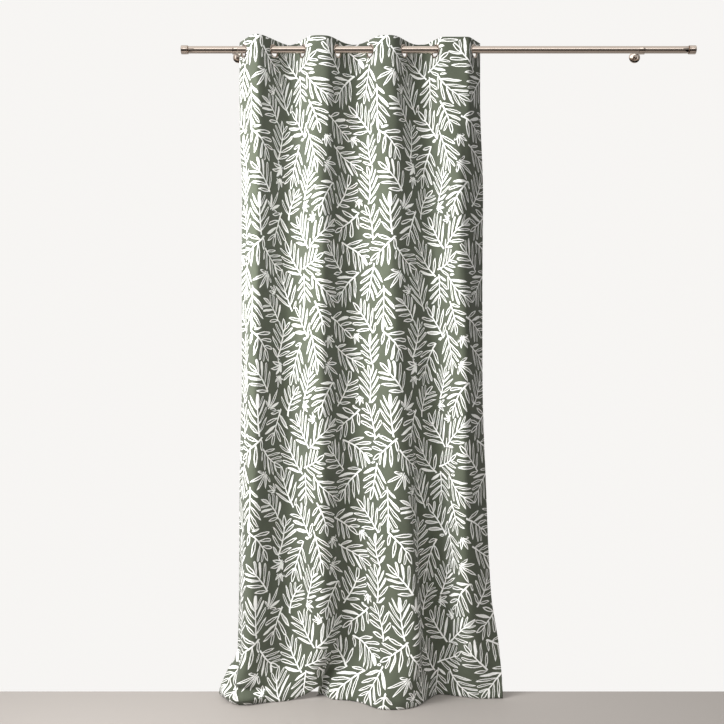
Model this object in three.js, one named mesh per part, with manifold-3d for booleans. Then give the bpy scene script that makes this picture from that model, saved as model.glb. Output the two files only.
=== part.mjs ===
// A light filtering curtain: one panel of printed cloth with metal eyelets, hung on a metal rod that
// two wall brackets carry. Millimetres, +Z up. The wall is the plane y = 0 and the room is towards
// -Y. The origin is the middle of the left bracket's plate, level with the rod, and x runs along it.

import * as THREE from "three";
import { mergeVertices } from "three/addons/utils/BufferGeometryUtils.js";
import Module from "manifold-3d";

// Clearance between two pieces that touch
const GAP = 0.3;

// Rod: a round tube that runs past both brackets
const ROD_DIAMETER = 28;
const ROD_WALL = 1.2;
const ROD_OVERALL = 2000;
const ROD_OVERHANG = 210;
const ROD_FROM_WALL = 100;

// End caps: turned cups pushed over the ends of the rod, each with a groove by its mouth
const CAP_DIAMETER = 34;
const CAP_LENGTH = 26;
const CAP_END_WALL = 3;
const CAP_BEVEL = 1.5;
const CAP_GROOVE = { depth: 0.8, from: 21, to: 23 };

// Brackets: a round plate on the wall, an arm, and an open cup that the rod lies in
const PLATE_DIAMETER = 44;
const PLATE_THICKNESS = 6.5;
const PLATE_ROUNDING = 4;
const ARM_DIAMETER = 12;
const ARM_FLARE = 4;
const CUP_WIDTH = 22;
const CUP_WALL = 3.2;
const CUP_BACK_HEIGHT = 9;
const CUP_LIP_HEIGHT = 5;
const CUP_CORNER = 6;

// Eyelets: round metal rings that grip the edge of a hole in the cloth
const EYELET_COUNT = 8;
const EYELET_BORE = 40;
const EYELET_OUTSIDE = 54;
const EYELET_DEPTH = 6.5;
const EYELET_BARREL = 44;
const EYELET_MARGIN = 56;
const EYELET_DROP = 5.4;
const EYELET_ROUNDING_STEPS = 8;

// Where each eyelet has been slid to along the rod, how steeply the cloth crosses the rod there, and
// how far it stays flat to each side of an eyelet
const EYELET_ALONG_ROD = [34, 150, 263, 397, 525, 656, 779, 928];
const CROSSING_ANGLE = THREE.MathUtils.degToRad(58);
const LEFT_EDGE_ANGLE = THREE.MathUtils.degToRad(88);
const EYELET_FLAT = 28;

// Cloth: one width of fabric, its side hems, heading and bottom hem folded from the same piece
const CLOTH_WIDTH = 1400;
const CLOTH_THICKNESS = 2;
const CLOTH_ABOVE_ROD = 39.6;
const FLOOR_BELOW_ROD = 2530;
const EYELET_PITCH = (CLOTH_WIDTH - 2 * EYELET_MARGIN) / (EYELET_COUNT - 1);

// The folds, a row for each height above the floor. The columns are the left edge, front fold 1,
// back fold 1, front 2, back 2, front 3, its shoulder and its steep side, back 3, front 4 and the
// right edge. The last row is where the hem lies on the floor: it has more places, because it
// spreads there and is tucked back under itself beside front fold 2.
// "along" is measured along the rod and "out" from the wall. "steps" cut the stretch above a row.
const HEADING_DOWN_TO = 2380;
const FOLD_ROWS = [
  {
    height: 1950,
    steps: 3,
    along: [20, 90, 201, 334, 445, 596, 623, 692, 761, 865, 970],
    out: [55, 152, 45, 153, 45, 152, 146, 95, 45, 152, 50],
  },
  {
    height: 1285,
    steps: 4,
    along: [20, 82, 201, 335, 449, 604, 638, 700, 777, 880, 967],
    out: [50, 152, 42, 150, 42, 155, 148, 97, 42, 150, 52],
  },
  {
    height: 780,
    steps: 4,
    along: [9, 71, 209, 339, 453, 618, 672, 702, 790, 884, 982],
    out: [50, 152, 45, 148, 42, 160, 152, 100, 36, 148, 60],
  },
  {
    height: 400,
    steps: 3,
    along: [8, 63, 213, 339, 455, 632, 696, 718, 800, 897, 1001],
    out: [50, 154, 50, 140, 40, 172, 166, 98, 30, 138, 62],
  },
  {
    height: 196,
    steps: 3,
    along: [4, 56, 214, 340, 441, 640, 708, 728, 812, 911, 1030],
    out: [48, 155, 62, 128, 38, 184, 176, 108, 28, 120, 72],
  },
  {
    height: 0,
    steps: 6,
    along: [
      -70, -23, 29, 122, 183, 224, 272, 316, 338, 331, 319, 322, 340, 372, 466, 552, 592, 691, 745, 800,
      832, 934, 1043,
    ],
    out: [
      40, 118, 156, 129, 118, 104, 95, 92, 80, 66, 52, 42, 50, 91, 118, 193, 207, 181, 105, 38, 46, 84,
      84,
    ],
  },
];

// The hem is caught up off the floor beside its tuck: how high, at places across the width, and
// how far up the cloth that is felt
const HEM_LIFT = { across: [340, 400, 475, 525], height: [0, 14, 50, 0], reach: 240 };

// Surfaces: printed cotton, and satin nickel with a warm tint
const CLOTH_FINISH = { color: 0x7d8a74, roughness: 0.9, metalness: 0 };
const EYELET_FINISH = { color: 0xb5a79a, roughness: 0.3, metalness: 1 };
const ROD_FINISH = { color: 0xb5a79a, roughness: 0.28, metalness: 1 };
const CAP_FINISH = { color: 0xb5a79a, roughness: 0.32, metalness: 1 };
const BRACKET_FINISH = { color: 0xb0a298, roughness: 0.32, metalness: 1 };

// Across the cloth: the spacing of a section's points, and the steps that a free fold is cut into
const SECTION_STEP = 2;
const FOLD_STEPS = 8;
// A section's points are found by halving: how often, and the depth and power that bound the search
const HALVINGS = 50;
const DEPTH_BOUNDS = [0.5, 2];
const SHARPNESS_BOUNDS = [-6, 6];

const ROD_RADIUS = ROD_DIAMETER / 2;
const ROD_LEFT = -ROD_OVERHANG;
const ROD_RIGHT = ROD_LEFT + ROD_OVERALL;
const RIGHT_BRACKET = ROD_RIGHT - ROD_OVERHANG;
// How round pieces are cut into flats
const ROUND_CORNERS = 24;
const QUARTER_STEPS = 3;

const wasm = await Module();
wasm.setup();

function solidOf(geometry) {
  const bare = geometry.clone();
  bare.deleteAttribute("normal");
  bare.deleteAttribute("uv");
  const merged = mergeVertices(bare);
  return new wasm.Manifold(
    new wasm.Mesh({
      numProp: 3,
      vertProperties: merged.getAttribute("position").array,
      triVerts: new Uint32Array(merged.index.array),
    }),
  );
}

function geometryOf(solid) {
  const mesh = solid.getMesh();
  const geometry = new THREE.BufferGeometry();
  geometry.setAttribute("position", new THREE.BufferAttribute(mesh.vertProperties, 3));
  geometry.setIndex(new THREE.BufferAttribute(mesh.triVerts, 1));
  geometry.computeVertexNormals();
  return geometry;
}

// A turned piece from its half section, given as [radius, place along the axis]
function turned(section) {
  return new THREE.LatheGeometry(
    section.map(([radius, along]) => new THREE.Vector2(radius, along)),
    ROUND_CORNERS,
  );
}

// The points of a quarter circle of radius 1, from (1, 0) to (0, 1)
function quarterRound() {
  const points = [];
  for (let step = 0; step <= QUARTER_STEPS; step++) {
    const angle = (Math.PI / 2) * (step / QUARTER_STEPS);
    points.push([Math.cos(angle), Math.sin(angle)]);
  }
  return points;
}

// Finds where a rising function of one number reaches a wanted value
function solve(rising, wanted, [low, high]) {
  for (let halving = 0; halving < HALVINGS; halving++) {
    const middle = (low + high) / 2;
    if (rising(middle) < wanted) low = middle;
    else high = middle;
  }
  return (low + high) / 2;
}

// The heading: how far the cloth leans from the rod at a place across its width. It is steady
// beside each eyelet and turns over through zero at the crest of the fold between two of them.
function headingAngle(across, sharpness) {
  const fromFirst = across - EYELET_MARGIN;
  if (fromFirst < -EYELET_FLAT) {
    const share = (-EYELET_FLAT - fromFirst) / (EYELET_MARGIN - EYELET_FLAT);
    return THREE.MathUtils.lerp(CROSSING_ANGLE, LEFT_EDGE_ANGLE, share);
  }
  const fold = THREE.MathUtils.clamp(Math.floor(fromFirst / EYELET_PITCH), 0, EYELET_COUNT - 2);
  const free = EYELET_PITCH - 2 * EYELET_FLAT;
  const share = (fromFirst - fold * EYELET_PITCH - EYELET_FLAT) / free;
  const turn = Math.cos(Math.PI * THREE.MathUtils.clamp(share, 0, 1));
  const lean = CROSSING_ANGLE * Math.sign(turn) * Math.abs(turn) ** sharpness[fold];
  return fold % 2 ? -lean : lean;
}

// A blunter fold takes up more of the rod: the sharpness that carries a fold over its own stretch
function foldSharpness(fold) {
  const reach = EYELET_ALONG_ROD[fold + 1] - EYELET_ALONG_ROD[fold];
  const start = EYELET_MARGIN + fold * EYELET_PITCH;
  const reachOf = (power) => {
    const sharpness = new Array(EYELET_COUNT).fill(2 ** power);
    let along = 0;
    for (let across = SECTION_STEP / 2; across < EYELET_PITCH; across += SECTION_STEP)
      along += SECTION_STEP * Math.cos(headingAngle(start + across, sharpness));
    return along;
  };
  return 2 ** solve(reachOf, reach, SHARPNESS_BOUNDS);
}

// The heading seen from above, a point at each step across the cloth
function headingSection() {
  const sharpness = [];
  for (let fold = 0; fold < EYELET_COUNT - 1; fold++) sharpness.push(foldSharpness(fold));
  const points = [new THREE.Vector2(0, 0)];
  for (let across = 0; across < CLOTH_WIDTH; across += SECTION_STEP) {
    const angle = headingAngle(across + SECTION_STEP / 2, sharpness);
    const step = new THREE.Vector2(Math.cos(angle), -Math.sin(angle)).multiplyScalar(SECTION_STEP);
    points.push(points.at(-1).clone().add(step));
  }
  const shift = new THREE.Vector2(EYELET_ALONG_ROD[0], -ROD_FROM_WALL);
  shift.sub(points[EYELET_MARGIN / SECTION_STEP]);
  return points.map((point) => point.add(shift));
}

// A lower section: a smooth line through its folds, their depth set so that it holds the whole width
function foldSection(row) {
  const middle = row.out.reduce((sum, out) => sum + out, 0) / row.out.length;
  const lineOf = (depth) => {
    const line = new THREE.CatmullRomCurve3(
      row.along.map(
        (along, i) => new THREE.Vector3(along, -(middle + depth * (row.out[i] - middle)), 0),
      ),
      false,
      "centripetal",
    );
    line.arcLengthDivisions = CLOTH_WIDTH;
    return line;
  };
  const depth = solve((share) => lineOf(share).getLength(), CLOTH_WIDTH, DEPTH_BOUNDS);
  return lineOf(depth)
    .getSpacedPoints(CLOTH_WIDTH / SECTION_STEP)
    .map((point) => new THREE.Vector2(point.x, point.y));
}

// A smooth line through values at rising places, with no overshoot, and level past both ends
function smoothValue(places, values, wanted) {
  const last = places.length - 1;
  const place = THREE.MathUtils.clamp(wanted, places[0], places[last]);
  const rise = (i) => (values[i + 1] - values[i]) / (places[i + 1] - places[i]);
  const slope = (i) => {
    if (i === 0 || i === last) return 0;
    const before = rise(i - 1);
    const after = rise(i);
    return before * after > 0 ? (2 * before * after) / (before + after) : 0;
  };
  let i = 0;
  while (i < last - 1 && place > places[i + 1]) i++;
  const run = places[i + 1] - places[i];
  const t = (place - places[i]) / run;
  return (
    values[i] * (1 + 2 * t) * (1 - t) ** 2 +
    values[i + 1] * t * t * (3 - 2 * t) +
    slope(i) * run * t * (1 - t) ** 2 -
    slope(i + 1) * run * t * t * (1 - t)
  );
}

// Stations across the cloth: the edge margins, the flat beside each eyelet and the free folds
function clothStations() {
  const stations = [0, EYELET_FLAT / 2];
  for (let eyelet = 0; eyelet < EYELET_COUNT; eyelet++) {
    const centre = EYELET_MARGIN + eyelet * EYELET_PITCH;
    stations.push(centre - EYELET_FLAT, centre, centre + EYELET_FLAT);
    const free = EYELET_PITCH - 2 * EYELET_FLAT;
    if (eyelet < EYELET_COUNT - 1)
      for (let step = 1; step < FOLD_STEPS; step++)
        stations.push(centre + EYELET_FLAT + (free * step) / FOLD_STEPS);
  }
  stations.push(CLOTH_WIDTH - EYELET_FLAT / 2, CLOTH_WIDTH);
  return stations;
}

// The middle surface of the hung cloth: a grid of points, rows from the top down to the hem
function clothGrid() {
  const heading = headingSection();
  const top = FLOOR_BELOW_ROD + CLOTH_ABOVE_ROD;
  const sections = [
    { depth: 0, points: heading },
    { depth: top - HEADING_DOWN_TO, points: heading, steps: 1 },
    ...FOLD_ROWS.map((row) => ({
      depth: top - row.height,
      points: foldSection(row),
      steps: row.steps,
    })),
  ];
  const depths = sections.map((section) => section.depth);
  const rows = [0];
  for (let i = 1; i < sections.length; i++)
    for (let step = 1; step <= sections[i].steps; step++)
      rows.push(THREE.MathUtils.lerp(depths[i - 1], depths[i], step / sections[i].steps));
  const columns = clothStations().map((across) => {
    const places = sections.map((section) => section.points[across / SECTION_STEP]);
    const x = places.map((place) => place.x);
    const y = places.map((place) => place.y);
    const lift = smoothValue(HEM_LIFT.across, HEM_LIFT.height, across);
    return rows.map((depth) => {
      const raised = lift * THREE.MathUtils.smoothstep(depth, top - HEM_LIFT.reach, top);
      return new THREE.Vector3(
        smoothValue(depths, x, depth),
        smoothValue(depths, y, depth),
        CLOTH_ABOVE_ROD - depth + raised,
      );
    });
  });
  return rows.map((depth, row) => columns.map((column) => column[row]));
}

// The way the front of the cloth faces at each point of the grid
function clothFacing(grid, row, column) {
  const last = grid.length - 1;
  const lastColumn = grid[0].length - 1;
  const down = new THREE.Vector3().subVectors(
    grid[Math.min(row + 1, last)][column],
    grid[Math.max(row - 1, 0)][column],
  );
  const across = new THREE.Vector3().subVectors(
    grid[row][Math.min(column + 1, lastColumn)],
    grid[row][Math.max(column - 1, 0)],
  );
  const facing = new THREE.Vector3().crossVectors(down, across);
  if (row === last) facing.setZ(0);
  return facing.normalize();
}

// The cloth as a closed sheet: the grid moved half the thickness forward and half back, with rims
function sheetGeometry(grid) {
  const rows = grid.length;
  const columns = grid[0].length;
  const positions = [];
  for (const side of [1, -1])
    for (let row = 0; row < rows; row++)
      for (let column = 0; column < columns; column++) {
        const facing = clothFacing(grid, row, column);
        const point = grid[row][column].clone();
        point.addScaledVector(facing, (side * CLOTH_THICKNESS) / 2);
        positions.push(point.x, point.y, point.z);
      }
  const front = (row, column) => row * columns + column;
  const back = (row, column) => rows * columns + front(row, column);
  const triangles = [];
  const quad = (a, b, c, d) => triangles.push(a, b, c, a, c, d);
  for (let row = 0; row < rows - 1; row++)
    for (let column = 0; column < columns - 1; column++)
      for (const [side, turn] of [
        [front, false],
        [back, true],
      ]) {
        const ring = [
          side(row, column),
          side(row + 1, column),
          side(row + 1, column + 1),
          side(row, column + 1),
        ];
        if (turn) ring.reverse();
        quad(...ring);
      }
  for (let column = 0; column < columns - 1; column++) {
    quad(front(0, column), front(0, column + 1), back(0, column + 1), back(0, column));
    const last = rows - 1;
    quad(front(last, column + 1), front(last, column), back(last, column), back(last, column + 1));
  }
  for (let row = 0; row < rows - 1; row++) {
    quad(front(row + 1, 0), front(row, 0), back(row, 0), back(row + 1, 0));
    const last = columns - 1;
    quad(front(row, last), front(row + 1, last), back(row + 1, last), back(row, last));
  }
  const geometry = new THREE.BufferGeometry();
  geometry.setAttribute("position", new THREE.Float32BufferAttribute(positions, 3));
  geometry.setIndex(triangles);
  return geometry;
}

// Eyelet centres, and the turn about the vertical that sets each ring in the plane of the cloth
function eyeletPlaces() {
  return EYELET_ALONG_ROD.map((along, i) => ({
    centre: new THREE.Vector3(along, -ROD_FROM_WALL, -EYELET_DROP),
    turn: i % 2 ? CROSSING_ANGLE : -CROSSING_ANGLE,
  }));
}

function placeEyelet(object, { centre, turn }) {
  object.rotation.set(0, 0, turn);
  object.position.copy(centre);
  object.updateMatrix();
  return object;
}

// The curtain panel with its eyelet holes
function clothPanel() {
  let sheet = solidOf(sheetGeometry(clothGrid()));
  const holeRadius = EYELET_BARREL / 2 + GAP;
  const punchLength = 5 * CLOTH_THICKNESS;
  const punch = new THREE.CylinderGeometry(holeRadius, holeRadius, punchLength, ROUND_CORNERS);
  for (const place of eyeletPlaces()) {
    const placed = placeEyelet(new THREE.Object3D(), place);
    sheet = sheet.subtract(solidOf(punch.clone().applyMatrix4(placed.matrix)));
  }
  const cloth = new THREE.Mesh(geometryOf(sheet), new THREE.MeshStandardMaterial(CLOTH_FINISH));
  cloth.name = "curtain_panel";
  return cloth;
}

// One eyelet ring: a rounded section with the groove that grips the cloth, turned about its axis
function eyeletGeometry() {
  const middle = (EYELET_BORE + EYELET_OUTSIDE) / 4;
  const halfWidth = (EYELET_OUTSIDE - EYELET_BORE) / 4;
  const halfDepth = EYELET_DEPTH / 2;
  const grooveHalf = CLOTH_THICKNESS / 2 + GAP;
  const start = Math.asin(grooveHalf / halfDepth);
  const section = [];
  for (let step = 0; step <= EYELET_ROUNDING_STEPS; step++) {
    const angle = THREE.MathUtils.lerp(start, 2 * Math.PI - start, step / EYELET_ROUNDING_STEPS);
    section.push([middle + halfWidth * Math.cos(angle), halfDepth * Math.sin(angle)]);
  }
  section.push([EYELET_BARREL / 2, -grooveHalf], [EYELET_BARREL / 2, grooveHalf], section[0]);
  return turned(section);
}

function eyeletRings() {
  const geometry = eyeletGeometry();
  const rings = new THREE.Group();
  eyeletPlaces().forEach((place, i) => {
    const material = new THREE.MeshStandardMaterial(EYELET_FINISH);
    const ring = placeEyelet(new THREE.Mesh(geometry, material), place);
    ring.name = `eyelet_${i + 1}`;
    rings.add(ring);
  });
  return rings;
}

// The rod and its caps lie along x
function rodAndCaps() {
  const group = new THREE.Group();
  group.position.y = -ROD_FROM_WALL;
  const rodStart = ROD_LEFT + CAP_END_WALL + GAP;
  const rodLength = ROD_OVERALL - 2 * (CAP_END_WALL + GAP);
  const bore = ROD_RADIUS - ROD_WALL;
  const tube = turned([
    [bore, 0],
    [ROD_RADIUS, 0],
    [ROD_RADIUS, rodLength],
    [bore, rodLength],
    [bore, 0],
  ]);
  tube.rotateZ(-Math.PI / 2);
  const rod = new THREE.Mesh(tube, new THREE.MeshStandardMaterial(ROD_FINISH));
  rod.name = "rod";
  rod.position.x = rodStart;
  group.add(rod);

  const outer = CAP_DIAMETER / 2;
  const inner = ROD_RADIUS + GAP;
  const cup = turned([
    [0, 0],
    [outer - CAP_BEVEL, 0],
    [outer, CAP_BEVEL],
    [outer, CAP_GROOVE.from],
    [outer - CAP_GROOVE.depth, CAP_GROOVE.from],
    [outer - CAP_GROOVE.depth, CAP_GROOVE.to],
    [outer, CAP_GROOVE.to],
    [outer, CAP_LENGTH],
    [inner, CAP_LENGTH],
    [inner, CAP_END_WALL],
    [0, CAP_END_WALL],
  ]);
  for (const [name, place, turn] of [
    ["end_cap_left", ROD_LEFT, -Math.PI / 2],
    ["end_cap_right", ROD_RIGHT, Math.PI / 2],
  ]) {
    const cap = new THREE.Mesh(cup, new THREE.MeshStandardMaterial(CAP_FINISH));
    cap.name = name;
    cap.position.x = place;
    cap.rotation.z = turn;
    group.add(cap);
  }
  return group;
}

// A bracket: plate and arm turned as one, and the cup that wraps the rod from below
function bracketGeometry() {
  const armRadius = ARM_DIAMETER / 2;
  const cupInner = ROD_RADIUS + GAP;
  const cupOuter = cupInner + CUP_WALL;
  const armEnd = ROD_FROM_WALL - cupInner - CUP_WALL / 2;
  const flatRadius = PLATE_DIAMETER / 2 - PLATE_ROUNDING;
  const flatBelow = PLATE_THICKNESS - PLATE_ROUNDING;
  const flareRadius = armRadius + ARM_FLARE;
  const flareEnd = PLATE_THICKNESS + ARM_FLARE;
  const plate = turned([
    [0, 0],
    [PLATE_DIAMETER / 2, 0],
    ...quarterRound().map(([c, s]) => [flatRadius + c * PLATE_ROUNDING, flatBelow + s * PLATE_ROUNDING]),
    ...quarterRound()
      .reverse()
      .map(([c, s]) => [flareRadius - c * ARM_FLARE, flareEnd - s * ARM_FLARE]),
    [armRadius, armEnd],
    [0, armEnd],
  ]).rotateX(Math.PI);

  const wrap = new THREE.Shape();
  wrap.moveTo(cupOuter, CUP_BACK_HEIGHT);
  wrap.lineTo(cupInner, CUP_BACK_HEIGHT);
  wrap.absarc(0, 0, cupInner, 0, Math.PI, true);
  wrap.lineTo(-cupInner, CUP_LIP_HEIGHT);
  wrap.lineTo(-cupOuter, CUP_LIP_HEIGHT);
  wrap.absarc(0, 0, cupOuter, Math.PI, 2 * Math.PI, false);
  const strip = new THREE.ExtrudeGeometry(wrap, {
    depth: CUP_WIDTH,
    bevelEnabled: false,
    curveSegments: ROUND_CORNERS / 2,
  });
  strip.translate(0, 0, -CUP_WIDTH / 2);
  const across = new THREE.Matrix4().makeBasis(
    new THREE.Vector3(0, 1, 0),
    new THREE.Vector3(0, 0, 1),
    new THREE.Vector3(1, 0, 0),
  );
  strip.applyMatrix4(across.setPosition(0, -ROD_FROM_WALL, 0));

  // The lip in front of the rod has round corners: what is kept in front is an upright outline, and
  // what is kept behind a plain block, both reaching past the cup
  const half = CUP_WIDTH / 2;
  const corner = half - CUP_CORNER;
  const lipTop = CUP_LIP_HEIGHT - CUP_CORNER;
  const past = 2 * cupOuter;
  const keep = new THREE.Shape();
  keep.moveTo(-half, -past);
  keep.lineTo(half, -past);
  keep.lineTo(half, lipTop);
  keep.absarc(corner, lipTop, CUP_CORNER, 0, Math.PI / 2, false);
  keep.absarc(-corner, lipTop, CUP_CORNER, Math.PI / 2, Math.PI, false);
  const frontBlock = new THREE.ExtrudeGeometry(keep, {
    depth: past,
    bevelEnabled: false,
    curveSegments: CUP_CORNER,
  });
  frontBlock.rotateX(Math.PI / 2).translate(0, -ROD_FROM_WALL, 0);
  const backBlock = new THREE.BoxGeometry(2 * CUP_WIDTH, past, 2 * past);
  backBlock.translate(0, -ROD_FROM_WALL + cupOuter - GAP, 0);
  const kept = solidOf(frontBlock).add(solidOf(backBlock));
  return geometryOf(solidOf(strip).intersect(kept).add(solidOf(plate)));
}

function brackets() {
  const geometry = bracketGeometry();
  const group = new THREE.Group();
  for (const [name, place] of [
    ["bracket_left", 0],
    ["bracket_right", RIGHT_BRACKET],
  ]) {
    const bracket = new THREE.Mesh(geometry, new THREE.MeshStandardMaterial(BRACKET_FINISH));
    bracket.name = name;
    bracket.position.x = place;
    group.add(bracket);
  }
  return group;
}

const curtain = new THREE.Group();
curtain.add(clothPanel(), eyeletRings(), rodAndCaps(), brackets());

export default curtain;
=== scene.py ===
from math import atan2, cos, hypot, pi, radians, sin

import bpy
import numpy as np
from mathutils import Matrix, Vector


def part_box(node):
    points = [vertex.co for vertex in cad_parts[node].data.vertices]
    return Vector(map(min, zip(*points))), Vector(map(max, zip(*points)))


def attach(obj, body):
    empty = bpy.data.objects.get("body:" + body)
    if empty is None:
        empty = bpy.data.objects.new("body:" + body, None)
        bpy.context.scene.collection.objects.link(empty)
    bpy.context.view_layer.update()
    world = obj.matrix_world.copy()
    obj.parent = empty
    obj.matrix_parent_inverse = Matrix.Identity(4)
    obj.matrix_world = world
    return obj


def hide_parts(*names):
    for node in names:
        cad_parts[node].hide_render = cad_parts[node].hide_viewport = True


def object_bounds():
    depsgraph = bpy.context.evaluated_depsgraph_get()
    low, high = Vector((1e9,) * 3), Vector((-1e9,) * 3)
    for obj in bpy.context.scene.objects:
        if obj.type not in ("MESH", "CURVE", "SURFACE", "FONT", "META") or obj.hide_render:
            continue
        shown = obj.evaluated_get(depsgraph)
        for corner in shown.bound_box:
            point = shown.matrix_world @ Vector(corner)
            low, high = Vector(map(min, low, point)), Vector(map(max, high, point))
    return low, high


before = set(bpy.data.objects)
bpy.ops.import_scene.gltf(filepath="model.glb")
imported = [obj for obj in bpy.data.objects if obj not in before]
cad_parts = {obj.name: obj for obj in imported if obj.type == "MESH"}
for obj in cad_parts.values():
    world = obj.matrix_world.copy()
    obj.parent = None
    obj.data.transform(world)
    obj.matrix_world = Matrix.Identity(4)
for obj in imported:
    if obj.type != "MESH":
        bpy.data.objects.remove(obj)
cad_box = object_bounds()


# Brackets
# Two turned steel brackets, plated in satin nickel with a warm tint. Each has a slightly domed round
# plate, screwed on from behind, an arm, and an open cup of flat bar that the rod lies in.
rod_radius = 0.014
rod_from_back = 0.100
bracket_places = (0.0, 1.580)
clearance = 0.0003
plate_radius, plate_thickness = 0.022, 0.0065
plate_edge, plate_bevel, dome_steps = 0.0025, 0.0005, 12
arm_radius, arm_flare, flare_steps = 0.006, 0.004, 8
cup_half_width, cup_wall = 0.011, 0.0032
cup_back_height, cup_lip_height, cup_corner = 0.009, 0.005, 0.006
cup_edge_rounding = 0.0008
round_corners = 96
nickel_colour = (0.62, 0.53, 0.46)


def sum_of(operation):
    """A method that joins a reading and another value by one Math node"""
    return lambda self, other: self.math(operation, other)


class Reading:
    """One socket of a finish, whose sums can be written as Python sums"""

    __add__ = __radd__ = sum_of("ADD")
    __sub__ = sum_of("SUBTRACT")
    __mul__ = __rmul__ = sum_of("MULTIPLY")
    __truediv__ = sum_of("DIVIDE")
    __pow__ = sum_of("POWER")
    __lt__ = sum_of("LESS_THAN")
    __gt__ = sum_of("GREATER_THAN")
    least = sum_of("MINIMUM")
    most = sum_of("MAXIMUM")

    def __init__(self, finish, socket):
        self.finish = finish
        self.socket = socket

    def math(self, operation, *others):
        return self.finish.add("ShaderNodeMath", {"operation": operation}, [self, *others])

    def __rsub__(self, other):
        return self.finish.add("ShaderNodeMath", {"operation": "SUBTRACT"}, [other, self])

    def __abs__(self):
        return self.math("ABSOLUTE")

    def held(self):
        """Kept from 0 to 1"""
        return self.least(1.0).most(0.0)

    def along(self, direction):
        return self.vector("DOT_PRODUCT", direction)

    def vector(self, operation, *others):
        output = 1 if operation in ("DOT_PRODUCT", "LENGTH") else 0
        return self.finish.add("ShaderNodeVectorMath", {"operation": operation}, [self, *others], output)

    def part(self, letter):
        return self.finish.add("ShaderNodeSeparateXYZ", {}, [self], "XYZ".index(letter))


class Finish:
    """A material in the making. The shader's plain numbers go on its own sockets."""

    def __init__(self, name, holder=None, **plain):
        self.material = holder or bpy.data.materials.new(name)
        self.material.use_nodes = True
        self.tree = self.material.node_tree
        self.shader = next(n for n in self.tree.nodes if n.type in ("BSDF_PRINCIPLED", "BACKGROUND"))
        for socket, value in plain.items():
            socket = socket.replace("_", " ").title().replace("Ior", "IOR")
            self.shader.inputs[socket].default_value = value

    def add(self, kind, settings, sockets, output=0):
        """A node of this kind. Its sockets are a list in their order, or a dict by identifier."""
        node = self.tree.nodes.new(kind)
        for setting, value in settings.items():
            setattr(node, setting, value)
        if isinstance(sockets, dict):
            by_name = {socket.identifier: socket for socket in node.inputs}
            pairs = [(by_name[name], value) for name, value in sockets.items()]
        else:
            pairs = zip(node.inputs, sockets)
        for socket, value in pairs:
            self.join(value, socket)
        return Reading(self, node.outputs[output])

    def join(self, value, socket):
        if isinstance(value, Reading):
            self.tree.links.new(value.socket, socket)
        else:
            socket.default_value = value

    def drive(self, socket, value):
        """Lets a reading drive one of the shader's sockets"""
        self.join(value, self.shader.inputs[socket])

    def colours(self, share, first, second):
        """A colour that goes from the first to the second as share goes from 0 to 1"""
        sockets = {"Factor_Float": share, "A_Color": opaque(first), "B_Color": opaque(second)}
        return self.add("ShaderNodeMix", {"data_type": "RGBA"}, sockets, 2)

    def noise(self, at, scale, detail=2.0, output=0):
        sockets = {"Vector": at, "Scale": scale, "Detail": detail}
        return self.add("ShaderNodeTexNoise", {}, sockets, output)

    def place(self):
        return self.add("ShaderNodeTexCoord", {}, [], 3)

    def bump(self, height, strength, distance):
        sockets = {"Strength": strength, "Distance": distance, "Height": height}
        self.drive("Normal", self.add("ShaderNodeBump", {}, sockets))


def opaque(colour):
    """A plain colour with the fourth number that a colour socket takes; a reading as it is"""
    return colour if isinstance(colour, Reading) else (*colour, 1.0)


def satin_metal(name, tint, grain_across, roughness):
    """Plated steel with fine marks drawn along one direction: grain_across is how closely they lie
    along x, y and z. Fingers and cloth leave it a little duller in patches."""
    finish = Finish(name, metallic=1.0)
    place = finish.place()
    grain = finish.noise(place.vector("MULTIPLY", grain_across), 1.0, 3.0)
    patches = finish.noise(place, 35.0)
    dulled = (patches - 0.35).held()
    darker = [0.86 * c for c in tint]
    finish.drive("Roughness", roughness + 0.05 * grain + 0.08 * dulled)
    finish.drive("Base Color", finish.colours(0.25 * grain + dulled * 0.5, tint, darker))
    finish.bump(grain, 0.12, 0.0001)
    return finish.material


def in_scene(name, data):
    """An object in the scene for a mesh, a light or the camera"""
    holder = bpy.data.objects.new(name, data)
    bpy.context.scene.collection.objects.link(holder)
    return holder


def make_piece(name, points, faces, materials):
    """A smooth-shaded mesh object that rides on the part's one body"""
    mesh = bpy.data.meshes.new(name)
    mesh.from_pydata([tuple(p) for p in points], [], faces)
    mesh.validate()
    for material in materials:
        mesh.materials.append(material)
    mesh.shade_smooth()
    piece = in_scene(name, mesh)
    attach(piece, "root")
    return piece


def turned(section, corners):
    """Points and faces of a piece turned about z from its section of (radius, height), which starts
    and ends on the axis or else is joined round into a ring"""
    closed = section[0][0] == 0
    points = [(0, 0, section[0][1]), (0, 0, section[-1][1])] if closed else []
    inner = section[1:-1] if closed else section
    first, rows = len(points), len(inner)
    for radius, height in inner:
        for corner in range(corners):
            angle = 2 * pi * corner / corners
            points.append((radius * cos(angle), radius * sin(angle), height))
    at = lambda row, corner: first + (row % rows) * corners + corner % corners
    faces = []
    for row in range(rows - 1 if closed else rows):
        for corner in range(corners):
            here, beyond = at(row, corner), at(row, corner + 1)
            faces.append((here, beyond, at(row + 1, corner + 1), at(row + 1, corner)))
    if closed:
        for corner in range(corners):
            faces.append((0, at(0, corner + 1), at(0, corner)))
            faces.append((1, at(rows - 1, corner), at(rows - 1, corner + 1)))
    return points, faces


def arc(centre, radius, start, end, steps):
    """Points of a round corner, from one angle to another, in degrees"""
    angles = [radians(start + (end - start) * step / steps) for step in range(steps + 1)]
    return [(centre[0] + radius * cos(a), centre[1] + radius * sin(a)) for a in angles]


def moved(points, matrix):
    """Points turned and shifted to their place"""
    return [matrix @ Vector(p) for p in points]


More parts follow.
